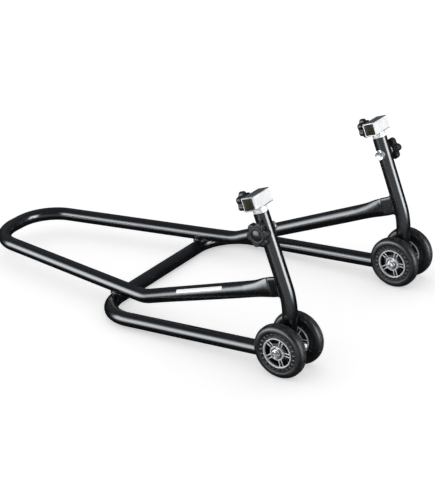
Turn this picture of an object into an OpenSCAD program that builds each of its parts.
// Two-legged tube frame on four wheels, with a U-shaped handle and two square receiver tubes on
// height-adjustable posts. The floor is z = 0, the handle points to -X (the rear), the wheels are
// at +X (the front), and -Y is the right-hand side. The origin is under the middle of the length.

/* [Frame tube] */
// Outside diameter of every frame tube
tube_od = 27.2; // [26.8:0.1:28]
// Wall thickness of the frame tube
tube_wall = 2.3; // [1.8:0.1:2.4]
// Centre-line radius of the bends in both U tubes
bend_r = 80; // [70:1:84]
// Centre-line radius of the bend in each upright
upright_bend_r = 150; // [120:5:200]

/* [Stance] */
// Distance between the two uprights' centre lines
track = 412; // [400:2:440]
// Distance from the axle line to the centre line of the handle's end bar
handle_reach = 808; // [780:2:840]
// Distance from the axle line to the centre line of the cross bar
cross_reach = 433; // [420:1:445]
// Half of the cross bar's width, between the lower tube's corners
cross_half = 211; // [206:1:216]
// Half of the handle's width at its outer end
handle_half = 78.5; // [76:0.5:90]
// Rise of the handle's end above the main tube's knee
handle_rise = 6; // [0:1:20]
// Distance from the axle line to the main tube's knee
knee_reach = 352; // [346:1:360]
// Half distance between the two knees
knee_half = 154; // [150:1:158]
// Height at which the main tube meets the upright
tab_height = 154; // [150:1:160]
// Height of the lower tube's centre line at the upright
lower_front_z = 30.7; // [28:0.1:31]

/* [Uprights] */
// Height of the upright tube's top end
upright_top_z = 288; // [284:1:300]
// Backward offset of the upright's top end from the axle line
upright_top_x = 44.5; // [40:0.5:50]
// Height of the upright's bend
upright_knee_z = 129; // [127:1:132]
// Forward offset of the upright's bend from the axle line
upright_knee_x = 6.5; // [4:0.5:8]

/* [Receivers] */
// Outside width of the square receiver tube
receiver_width = 25; // [25:0.5:27]
// Wall thickness of the square receiver tube
receiver_wall = 2.3; // [2:0.1:2.5]
// Length of the receiver tube
receiver_len = 52; // [46:1:56]
// Outside diameter of the post that slides in the upright
post_od = 22.45; // [22.4:0.01:22.5]
// Bore of the post
post_id = 17.3; // [16:0.1:18]
// Height of the collar that rests on the upright's end
collar_h = 9.4; // [8:0.1:12]
// Outside diameter of the collar
collar_od = 25.4; // [25:0.1:26]
// Height adjustment of the post
post_travel = 30; // [10:1:32]

/* [Knobs] */
// Outside diameter of the lock knobs, over the lobes
knob_d = 45; // [42:0.5:46]
// Thickness of the lock knob's rim
knob_t = 12; // [11:0.5:12]
// Outside diameter of the clamp knobs, over the lobes
clamp_d = 37; // [35:0.5:38]
// Distance from the upright's top end down to the lock bolt
lock_drop = 31.5; // [30:0.5:34]

/* [Wheels] */
// Outside diameter of the wheels
wheel_d = 100; // [98:1:102]
// Width of the tyre
tyre_w = 22; // [20:0.5:22.5]
// Outside radius of the wheel hub's rim
hub_r = 28; // [27:0.5:29]
// Distance from the upright's centre line to each wheel's middle
wheel_off = 29; // [29:0.5:31]
// Diameter of the axle bolt
axle_d = 7.92; // [7.8:0.01:7.94]

/* [Hidden] */
$fn = 64;

frame_color = "#15171a";
fastener_color = "#c9cccf";
ring_color = "#b9bcc0";
sleeve_color = "#8f9398"; // bearing spacers and lock inserts
ball_color = "#dfe2e5";
shield_color = "#4a4d52";
tyre_color = "#222428";
hub_color = "#9da1a6";
post_color = "#d7dadd";
receiver_color = "#e3e5e7";
knob_color = "#26282b";
cap_color = "#2c2e31";

gap = 0.05;       // clearance between neighbouring pieces
touch_gap = 0.02; // clearance between pieces that sit tight
overlap = 0.01;   // overlap of shapes joined in one piece
cut_lead = 1;     // how far a cut starts before the face it opens

tube_r = tube_od / 2;
bore_r = tube_r - tube_wall;
wheel_r = wheel_d / 2;
half_track = track / 2;
axle_x = (handle_reach + tube_r - wheel_r) / 2;
// Both radii of a bend are this much smaller than the straights', which lap over its ends
bend_shrink = 0.05;
lap = 0.5;

// The main tube lies across the cross bar, which lies on the floor
rest_z = 3 * tube_r + 0.12;
knee_z = rest_z - handle_rise * (cross_reach - knee_reach) / (handle_reach - knee_reach);
handle_z = knee_z + handle_rise;

// Centre-line points of the right-hand side.
// The upright's lower run passes through the axle line.
foot_z = 13;
foot_back = upright_knee_x * (wheel_r - foot_z) / (upright_knee_z - wheel_r);
upright_foot = [axle_x - foot_back, -half_track, foot_z];
upright_knee = [axle_x + upright_knee_x, -half_track, upright_knee_z];
upright_top = [axle_x - upright_top_x, -half_track, upright_top_z];
lower_end = [axle_x - 1, -half_track - 1, lower_front_z];
lower_corner = [axle_x - cross_reach, -cross_half, tube_r];
main_end = [axle_x - 9, -half_track + 0.5, tab_height];
main_knee = [axle_x - knee_reach, -knee_half, knee_z];
main_corner = [axle_x - handle_reach, -handle_half, handle_z];
// Backward lean of the upright's upper run
lean = atan2(upright_knee_x + upright_top_x, upright_top_z - upright_knee_z);

// ---- geometry helpers ----
function unit(v) = v / norm(v);
function mirrored(p) = [p[0], -p[1], p[2]];
function side_view(p) = [p[0], p[2]];
function corner_angle(a, b, c) = acos(unit(a - b) * unit(c - b));
// Point on the run a-b where the bend at corner b ends
function bend_end(a, b, c, r) = b + unit(a - b) * r / tan(corner_angle(a, b, c) / 2);
function bend_centre(a, b, c, r) =
  b + unit(unit(a - b) + unit(c - b)) * r / sin(corner_angle(a, b, c) / 2);

module annulus(od, id) {
  difference() {
    circle(d = od);
    circle(d = id);
  }
}

// Places children with their axes along x, y, z and their origin at p
module in_frame(x, y, z, p) {
  multmatrix([
    [x[0], y[0], z[0], p[0]],
    [x[1], y[1], z[1], p[1]],
    [x[2], y[2], z[2], p[2]],
    [0, 0, 0, 1]
  ]) children();
}

// Places children with +Z from start to end and +X as near as possible to x_hint
module along(start, end, x_hint = [0, 1, 0]) {
  z = unit(end - start);
  hint = abs(z * x_hint) > 0.9 ? [0, 0, 1] : x_hint;
  x = unit(hint - (hint * z) * z);
  in_frame(x, cross(z, x), z, start) children();
}

// Straight tube, run on past its ends by the two laps
module tube(start, end, start_lap = lap, end_lap = lap) {
  along(start, end)
    translate([0, 0, -start_lap])
      linear_extrude(norm(end - start) + start_lap + end_lap) annulus(2 * tube_r, 2 * bore_r);
}

// Bent tube of radius r at corner b, between the runs a-b and b-c
module elbow(a, b, c, r) {
  centre = bend_centre(a, b, c, r);
  x = unit(bend_end(a, b, c, r) - centre);
  y = -unit(a - b);
  in_frame(x, y, cross(x, y), centre)
    rotate_extrude(angle = 180 - corner_angle(a, b, c), $fn = 128)
      translate([r, 0]) annulus(2 * (tube_r - bend_shrink), 2 * (bore_r - bend_shrink));
}

module mirror_y() { mirror([0, 1, 0]) children(); }
module both_sides() {
  children();
  mirror_y() children();
}
module both_ends() {
  children();
  mirror([0, 0, 1]) children();
}

// Slot shape, width over its round ends and t thick
module stadium(width, t) {
  square([width - t, t], center = true);
  translate([(width - t) / 2, 0]) circle(d = t);
  translate([-(width - t) / 2, 0]) circle(d = t);
}

// Cutters: one centred on z = 0, one that opens the face at z = 0
module through_hole(d, length = 60) { cylinder(d = d, h = length, center = true); }
module face_hole(d, length = 20) { translate([0, 0, -cut_lead]) cylinder(d = d, h = length); }

// Hexagon head with chamfered corners, from z = 0 up
module hex_head(across_flats, h) {
  chamfer = 1.2;
  corner_d = across_flats / cos(30);
  intersection() {
    cylinder(d = corner_d, h = h, $fn = 6);
    union() {
      cylinder(d = corner_d + 1, h = h - chamfer, $fn = 48);
      translate([0, 0, h - chamfer])
        cylinder(d1 = corner_d + 1, d2 = across_flats * 0.96, h = chamfer, $fn = 48);
    }
  }
}

// ---- placing frames, right-hand side ----
collar_z = 0.1;
receiver_z = collar_z + collar_h + receiver_width / 2;

// Origin on the upright's top end, +Z up the post
module at_post() { translate(upright_top) rotate([0, -lean, 0]) children(); }
// Origin on the axle line at the upright, +Z towards the outside (-Y)
module at_axle() { translate([axle_x, -half_track, wheel_r]) rotate([90, 0, 0]) children(); }
// Origin on the lock bolt at the upright, +Z towards the outside (-Y)
module at_lock() { at_post() translate([0, 0, -lock_drop]) rotate([90, 0, 0]) children(); }
// Origin in the receiver's middle, +Z along the clamp screw towards the handle side
module at_clamp() { at_post() translate([0, 0, receiver_z]) rotate([0, -90, 0]) children(); }

// ---- main tube ----
// Each front end is pressed to a flat tab, then flares out to the round tube
tab_w = 37;
tab_t = 7.2;
tab_len = 24;
flare_len = 46;
// The tab sits this much above the tube's centre line
tab_up = 3.3;

// Flat part of the tab, started early by lead and made smaller by shrink
module tab_flat(lead, shrink) {
  translate([tab_up, 0, -lead])
    linear_extrude(tab_len + lead) stadium(tab_w - shrink, tab_t - shrink);
}

// Flare from the tab's section, started early by lead, to a circle of radius end_r
module tab_flare(lead, shrink, end_r, end_len) {
  hull($fn = 32) {
    translate([tab_up, 0, -lead])
      linear_extrude(0.4) stadium(tab_w - shrink, tab_t - shrink, $fn = 32);
    translate([0, 0, flare_len - 0.3]) linear_extrude(end_len) circle(r = end_r, $fn = 32);
  }
}

module main_leg() {
  up = [0, 0, 1];
  run = unit(main_knee - main_end);
  flare_start = main_end + run * tab_len;
  flare_end = main_end + run * (tab_len + flare_len);
  other_corner = mirrored(main_corner);
  tube(flare_end, bend_end(main_end, main_knee, main_corner, bend_r), start_lap = 0.3);
  elbow(main_end, main_knee, main_corner, bend_r);
  tube(bend_end(main_corner, main_knee, main_end, bend_r),
    bend_end(main_knee, main_corner, other_corner, bend_r));
  elbow(main_knee, main_corner, other_corner, bend_r);
  difference() {
    union() {
      along(main_end, flare_start, up) tab_flat(lead = 0, shrink = 0);
      along(flare_start, flare_end, up)
        tab_flare(lead = 0.6, shrink = 0.1, end_r = tube_r - 0.2, end_len = 0.3);
    }
    along(main_end, flare_start, up) tab_flat(lead = cut_lead, shrink = 2 * tube_wall);
    along(flare_start, flare_end, up)
      tab_flare(lead = 0.9, shrink = 2 * tube_wall + 0.2, end_r = bore_r - 0.1, end_len = 1);
  }
}

// Everything in front of the upright's rear face, which the main tube's tabs are cut to
module upright_rear_cut() {
  reach = 60;
  width = 60;
  steps = 6;
  bend_start = bend_end(upright_foot, upright_knee, upright_top, upright_bend_r);
  centre = side_view(bend_centre(upright_foot, upright_knee, upright_top, upright_bend_r));
  radius = upright_bend_r - tube_r - gap;
  from_centre = side_view(bend_start) - centre;
  start_angle = atan2(from_centre[1], from_centre[0]);
  sweep = 180 - corner_angle(upright_foot, upright_knee, upright_top);
  // Points up the rear face of the bend, as [x, z]
  rear = [for (i = [0:steps])
    let (a = start_angle + sweep * i / steps) centre + radius * [cos(a), sin(a)]];
  down = side_view(unit(upright_foot - upright_knee));
  up = side_view(unit(upright_top - upright_knee));
  translate([0, -half_track + width / 2, 0]) rotate([90, 0, 0]) linear_extrude(width)
    polygon(concat(
      [[axle_x + reach, rear[0][1] - reach], rear[0] + reach * down],
      rear,
      [rear[steps] + reach * up, [axle_x + reach, rear[steps][1] + reach]]));
}

module main_tube() {
  bar_end = bend_end(mirrored(main_corner), main_corner, main_knee, bend_r);
  color(frame_color) difference() {
    union() {
      both_sides() main_leg();
      tube(bar_end, mirrored(bar_end));
    }
    both_sides() upright_rear_cut();
  }
}

// ---- lower tube ----
// Many-sided prism around the upright's foot, which the lower tube is coped to
module upright_foot_cut() {
  sides = 24;
  radius = (tube_r + gap) / cos(180 / sides);
  along(upright_foot - 20 * unit(upright_knee - upright_foot), upright_knee)
    linear_extrude(80)
      polygon([for (i = [0:sides - 1])
        let (a = (i + 0.5) * 360 / sides) radius * [cos(a), sin(a)]]);
}

module lower_tube() {
  other_corner = mirrored(lower_corner);
  bar_end = bend_end(other_corner, lower_corner, lower_end, bend_r);
  color(frame_color) difference() {
    union() {
      both_sides() {
        tube(lower_end, bend_end(lower_end, lower_corner, other_corner, bend_r), start_lap = 0);
        elbow(lower_end, lower_corner, other_corner, bend_r);
      }
      tube(bar_end, mirrored(bar_end));
    }
    both_sides() upright_foot_cut();
  }
}

// ---- uprights and axles ----
hub_w = 24;
sleeve_od = 14;
sleeve_half = wheel_off - hub_w / 2 - gap;
axle_hole_d = 8.3;
lock_bolt_d = 10;
lock_hole_d = lock_bolt_d + 0.4;

module upright() {
  color(frame_color) difference() {
    union() {
      tube(upright_foot, bend_end(upright_foot, upright_knee, upright_top, upright_bend_r),
        start_lap = 0);
      elbow(upright_foot, upright_knee, upright_top, upright_bend_r);
      tube(bend_end(upright_top, upright_knee, upright_foot, upright_bend_r), upright_top,
        end_lap = 0);
    }
    at_axle() through_hole(sleeve_od + 2 * gap);
    at_lock() through_hole(lock_hole_d);
  }
}
module right_upright() { upright(); }
module left_upright() { mirror_y() upright(); }

module axle_sleeves() {
  color(frame_color) both_sides() at_axle() difference() {
    cylinder(d = sleeve_od, h = 2 * sleeve_half, center = true);
    through_hole(axle_hole_d, length = 80);
  }
}

// Stack along the axle: wheel face, washer, then the head or the nut
axle_washer_z = wheel_off + hub_w / 2 + gap;
axle_washer_t = 1.6;
axle_head_z = axle_washer_z + axle_washer_t + gap;
axle_tail = 10; // bolt length past the nut's seat
axle_flats = 13;

module axle_bolts() {
  color(fastener_color) both_sides() at_axle() {
    translate([0, 0, axle_head_z]) hex_head(axle_flats, 5.3);
    translate([0, 0, -axle_head_z - axle_tail])
      cylinder(d = axle_d, h = 2 * axle_head_z + axle_tail + 0.5);
  }
}
module axle_locknuts() {
  color(fastener_color) both_sides() at_axle()
    rotate([180, 0, 0]) translate([0, 0, axle_head_z]) difference() {
      union() {
        hex_head(axle_flats, 6);
        cylinder(d = 11.6, h = 8);
      }
      face_hole(axle_d + 2 * gap, length = 12);
    }
}
module axle_washers() {
  color(fastener_color) both_sides() at_axle() both_ends()
    translate([0, 0, axle_washer_z]) linear_extrude(axle_washer_t) annulus(16, axle_hole_d);
}

// ---- wheels ----
RIGHT = -1;
LEFT = 1;
OUTER = 1;
INNER = -1;

// Wheel's own frame: origin in its middle, +Z towards the outside of the product
module at_wheel(place) { at_axle() translate([0, 0, place * wheel_off]) children(); }
module one_wheel(hand, place) {
  if (hand == RIGHT) at_wheel(place) children();
  else mirror_y() at_wheel(place) children();
}
module all_wheels() { both_sides() for (place = [INNER, OUTER]) at_wheel(place) children(); }

// Bearings, two in each hub
ball_d = 3.96;
ball_count = 7;
ball_circle_r = 7.65;
bearing_w = 7;
bearing_z = hub_w / 2 - bearing_w / 2;
inner_ring_r = 4; // inside radius of each ring, then its radial thickness
inner_ring_t = 2.3;
outer_ring_r = 9.1;
outer_ring_t = 1.9;

module both_bearings() { for (j = [-1, 1]) translate([0, 0, j * bearing_z]) children(); }

// Bearing ring with a groove for the balls
module bearing_ring(inside_r, t) {
  rotate_extrude() difference() {
    translate([inside_r, -bearing_w / 2]) square([t, bearing_w]);
    translate([ball_circle_r, 0]) circle(r = ball_d / 2 + gap, $fn = 32);
  }
}
module bearing_inner_rings() {
  color(ring_color) all_wheels() both_bearings() bearing_ring(inner_ring_r, inner_ring_t);
}
module bearing_spacers() {
  color(sleeve_color) all_wheels()
    linear_extrude(2 * bearing_z - bearing_w - 2 * gap, center = true) annulus(12, 8.2);
}
module outer_rings(hand, place) {
  color(ring_color) one_wheel(hand, place) both_bearings()
    bearing_ring(outer_ring_r, outer_ring_t);
}
module balls(hand, place) {
  color(ball_color) one_wheel(hand, place) both_bearings()
    for (i = [0:ball_count - 1]) rotate(i * 360 / ball_count)
      translate([ball_circle_r, 0, 0]) sphere(d = ball_d, $fn = 24);
}
module shields(hand, place) {
  color(shield_color) one_wheel(hand, place) both_bearings() both_ends()
    translate([0, 0, bearing_w / 2 - 0.9])
      linear_extrude(0.5) annulus(2 * (outer_ring_r - 0.01), 2 * 6.4);
}

// Section of the tyre: sides stepped in next to the rim, and round shoulders
module tyre_section() {
  shoulder_r = 9;
  tyre_bore_r = hub_r + touch_gap;
  shoulder_x = wheel_r - shoulder_r;
  shoulder_y = tyre_w / 2 - shoulder_r;
  difference() {
    union() {
      translate([tyre_bore_r, -tyre_w / 2]) square([shoulder_x - tyre_bore_r, tyre_w]);
      translate([shoulder_x - overlap, -shoulder_y])
        square([shoulder_r + overlap, 2 * shoulder_y]);
      for (j = [-1, 1]) translate([shoulder_x, j * shoulder_y]) circle(r = shoulder_r);
    }
    for (j = [-1, 1])
      translate([hub_r + 4.6, j * (tyre_w / 2 - 0.1)]) square([11.2, 2.0], center = true);
  }
}
module tyre(hand, place) {
  color(tyre_color) one_wheel(hand, place) rotate_extrude($fn = 96) tyre_section();
}

// Hub: rim, boss, a narrower disc round the boss, and five pairs of spokes
module hub(hand, place) {
  rim_inside_r = hub_r - 2.2;
  spoke_t = 1.9;
  spoke_start = 12;
  spoke_end = rim_inside_r + 0.5;
  spoke_y = 2.9;
  spoke_splay = 3;
  bearing_seat_r = outer_ring_r + outer_ring_t + 0.01;
  color(hub_color) one_wheel(hand, place) difference() {
    union() {
      linear_extrude(tyre_w + 0.8, center = true) annulus(2 * hub_r, 2 * rim_inside_r);
      cylinder(r = 13.2, h = hub_w - 0.6, center = true);
      cylinder(r = 16.2, h = tyre_w - 10, center = true);
      for (i = [0:4]) rotate(270 + i * 72) for (j = [-1, 1])
        translate([(spoke_start + spoke_end) / 2, j * spoke_y, 0]) rotate(j * spoke_splay)
          cube([spoke_end - spoke_start, spoke_t, tyre_w - 6], center = true);
    }
    through_hole(2 * 9.6);
    both_ends() translate([0, 0, bearing_z - bearing_w / 2])
      cylinder(r = bearing_seat_r, h = 20);
  }
}

module right_outer_tyre() { tyre(RIGHT, OUTER); }
module right_outer_hub() { hub(RIGHT, OUTER); }
module right_outer_bearing_rings() { outer_rings(RIGHT, OUTER); }
module right_outer_balls() { balls(RIGHT, OUTER); }
module right_outer_shields() { shields(RIGHT, OUTER); }
module right_inner_tyre() { tyre(RIGHT, INNER); }
module right_inner_hub() { hub(RIGHT, INNER); }
module right_inner_bearing_rings() { outer_rings(RIGHT, INNER); }
module right_inner_balls() { balls(RIGHT, INNER); }
module right_inner_shields() { shields(RIGHT, INNER); }
module left_inner_tyre() { tyre(LEFT, INNER); }
module left_inner_hub() { hub(LEFT, INNER); }
module left_inner_bearing_rings() { outer_rings(LEFT, INNER); }
module left_inner_balls() { balls(LEFT, INNER); }
module left_inner_shields() { shields(LEFT, INNER); }
module left_outer_tyre() { tyre(LEFT, OUTER); }
module left_outer_hub() { hub(LEFT, OUTER); }
module left_outer_bearing_rings() { outer_rings(LEFT, OUTER); }
module left_outer_balls() { balls(LEFT, OUTER); }
module left_outer_shields() { shields(LEFT, OUTER); }

// ---- knob shapes, shared by the lock and clamp knobs ----
knob_hub_h = 2.4;
cap_ratio = 0.235; // cap seat's radius over the knob's diameter

// Star outline with six round lobes and filled valleys
module star_outline(d) {
  lobe_r = d * 0.155;
  fillet = 2.6;
  offset(r = -fillet, $fn = 24) offset(r = fillet, $fn = 24) {
    circle(r = d * 0.36, $fn = 48);
    for (i = [0:5]) rotate(i * 60) translate([d / 2 - lobe_r, 0]) circle(r = lobe_r, $fn = 32);
  }
}

// Star knob with a centre hole, from its hub face at z = 0 up
module star_knob(hole_d, d, t) {
  difference() {
    union() {
      cylinder(r = 9.5, h = knob_hub_h + 0.1);
      translate([0, 0, knob_hub_h]) linear_extrude(t) star_outline(d);
      translate([0, 0, knob_hub_h]) cylinder(r = d / 3, h = t + 1.4);
    }
    face_hole(hole_d, length = 31);
    translate([0, 0, knob_hub_h + t - 1]) cylinder(r = d * cap_ratio, h = 5);
  }
}

// Domed cap in the face of a star knob of the same d and t
module knob_cap(d, t) {
  translate([0, 0, knob_hub_h + t - 0.95]) rotate_extrude() intersection() {
    square([d * cap_ratio - gap, 6]);
    translate([0, -14.2]) circle(r = 19, $fn = 96);
  }
}

// ---- lock bolt through each upright and post: head inside, knob outside ----
lock_washer_z = tube_r + gap;
bolt_washer_t = 1.2;
knob_washer_t = 2;
lock_head_z = lock_washer_z + bolt_washer_t + gap;
knob_z = lock_washer_z + knob_washer_t + gap + 0.15;

module lock_bolts() {
  head_lap = 0.5;
  color(fastener_color) both_sides() at_lock() {
    rotate([180, 0, 0]) translate([0, 0, lock_head_z]) hex_head(17, 4.8);
    translate([0, 0, -lock_head_z - head_lap])
      cylinder(d = lock_bolt_d, h = lock_head_z + head_lap + knob_z + 12);
  }
}
module lock_bolt_washers() {
  color(fastener_color) both_sides() at_lock() rotate([180, 0, 0])
    translate([0, 0, lock_washer_z]) linear_extrude(bolt_washer_t) annulus(18.4, lock_hole_d);
}
module lock_knob_washers() {
  color(fastener_color) both_sides() at_lock()
    translate([0, 0, lock_washer_z]) linear_extrude(knob_washer_t) annulus(20, lock_hole_d);
}

// Flanged insert between the lock bolt and the knob
insert_r = 7;
insert_h = 12;
insert_flange_r = 8.5;
insert_flange_t = 2;

module lock_insert() {
  color(sleeve_color) at_lock() translate([0, 0, knob_z + 0.2]) difference() {
    union() {
      cylinder(r = insert_r, h = insert_h - insert_flange_t);
      translate([0, 0, insert_h - insert_flange_t - overlap])
        cylinder(r = insert_flange_r, h = insert_flange_t);
    }
    face_hole(lock_bolt_d + 2 * gap);
  }
}
module lock_knob() {
  color(knob_color) at_lock() translate([0, 0, knob_z]) difference() {
    star_knob(2 * (insert_r + gap), knob_d, knob_t);
    translate([0, 0, insert_h - 1.9]) cylinder(r = insert_flange_r + gap, h = 20);
  }
}
module lock_cap() {
  color(cap_color) at_lock() translate([0, 0, knob_z]) knob_cap(knob_d, knob_t);
}
module right_lock_insert() { lock_insert(); }
module left_lock_insert() { mirror_y() lock_insert(); }
module right_lock_knob() { lock_knob(); }
module left_lock_knob() { mirror_y() lock_knob(); }
module right_lock_cap() { lock_cap(); }
module left_lock_cap() { mirror_y() lock_cap(); }

// ---- post, collar and square receiver ----
post_depth = 86; // length of the post inside the upright
post_slot_w = lock_bolt_d + 0.6;
nut_h = 5;
stud_d = 8;

module post() {
  color(post_color) at_post() difference() {
    translate([0, 0, -post_depth])
      linear_extrude(post_depth + collar_z + collar_h - touch_gap) annulus(post_od, post_id);
    translate([0, 0, -lock_drop]) rotate([90, 0, 0]) {
      through_hole(post_slot_w);
      translate([0, -post_travel, 0]) through_hole(post_slot_w);
      translate([0, -post_travel / 2, 0]) cube([post_slot_w, post_travel, 60], center = true);
    }
  }
}
module collar() {
  color(post_color) at_post() translate([0, 0, collar_z])
    linear_extrude(collar_h - touch_gap) annulus(collar_od, post_od + 2 * touch_gap);
}
module receiver() {
  color(receiver_color) at_post() translate([0, 0, receiver_z]) difference() {
    rotate([90, 0, 0]) linear_extrude(receiver_len, center = true) difference() {
      square(receiver_width, center = true);
      square(receiver_width - 2 * receiver_wall, center = true);
    }
    rotate([0, -90, 0]) cylinder(d = stud_d + 0.4, h = 40);
  }
}
module clamp_nut() {
  color(receiver_color) at_clamp()
    translate([0, 0, receiver_width / 2 + touch_gap]) difference() {
      hex_head(13, nut_h);
      face_hole(stud_d + 2 * gap);
    }
}
module right_post() { post(); }
module left_post() { mirror_y() post(); }
module right_collar() { collar(); }
module left_collar() { mirror_y() collar(); }
module right_receiver() { receiver(); }
module left_receiver() { mirror_y() receiver(); }
module right_clamp_nut() { clamp_nut(); }
module left_clamp_nut() { mirror_y() clamp_nut(); }

// ---- clamp screws: stud in the knob, through the weld nut ----
clamp_knob_z = receiver_width / 2 + nut_h + 1.6;
clamp_t = 10;
flange_depth = 6.99; // from the knob's hub face to the stud's flange
flange_z = clamp_knob_z + flange_depth;
flange_d = 13;
stud_tip_z = receiver_width / 2 - receiver_wall + 0.4;

module clamp_stud() {
  chamfer = 0.8;
  shank_z = stud_tip_z + chamfer - overlap;
  color(fastener_color) at_clamp() {
    translate([0, 0, stud_tip_z]) cylinder(d1 = 6.6, d2 = stud_d, h = chamfer);
    translate([0, 0, shank_z]) cylinder(d = stud_d, h = flange_z + overlap - shank_z);
    translate([0, 0, flange_z]) cylinder(d = flange_d, h = 2.6);
  }
}
module clamp_knob() {
  color(knob_color) at_clamp() translate([0, 0, clamp_knob_z]) difference() {
    star_knob(stud_d + 2 * gap, clamp_d, clamp_t);
    translate([0, 0, flange_depth - gap]) cylinder(d = flange_d + 2 * gap, h = 20);
  }
}
module clamp_cap() {
  color(cap_color) at_clamp() translate([0, 0, clamp_knob_z]) knob_cap(clamp_d, clamp_t);
}
module right_clamp_stud() { clamp_stud(); }
module left_clamp_stud() { mirror_y() clamp_stud(); }
module right_clamp_knob() { clamp_knob(); }
module left_clamp_knob() { mirror_y() clamp_knob(); }
module right_clamp_cap() { clamp_cap(); }
module left_clamp_cap() { mirror_y() clamp_cap(); }

main_tube();
lower_tube();
right_upright();
left_upright();
axle_sleeves();
axle_bolts();
axle_locknuts();
axle_washers();
bearing_inner_rings();
bearing_spacers();
lock_bolts();
lock_bolt_washers();
lock_knob_washers();
right_outer_tyre();
right_outer_hub();
right_outer_bearing_rings();
right_outer_balls();
right_outer_shields();
right_inner_tyre();
right_inner_hub();
right_inner_bearing_rings();
right_inner_balls();
right_inner_shields();
left_inner_tyre();
left_inner_hub();
left_inner_bearing_rings();
left_inner_balls();
left_inner_shields();
left_outer_tyre();
left_outer_hub();
left_outer_bearing_rings();
left_outer_balls();
left_outer_shields();
right_post();
right_collar();
right_receiver();
right_clamp_nut();
left_post();
left_collar();
left_receiver();
left_clamp_nut();
right_lock_insert();
right_lock_knob();
right_lock_cap();
left_lock_insert();
left_lock_knob();
left_lock_cap();
right_clamp_stud();
right_clamp_knob();
right_clamp_cap();
left_clamp_stud();
left_clamp_knob();
left_clamp_cap();
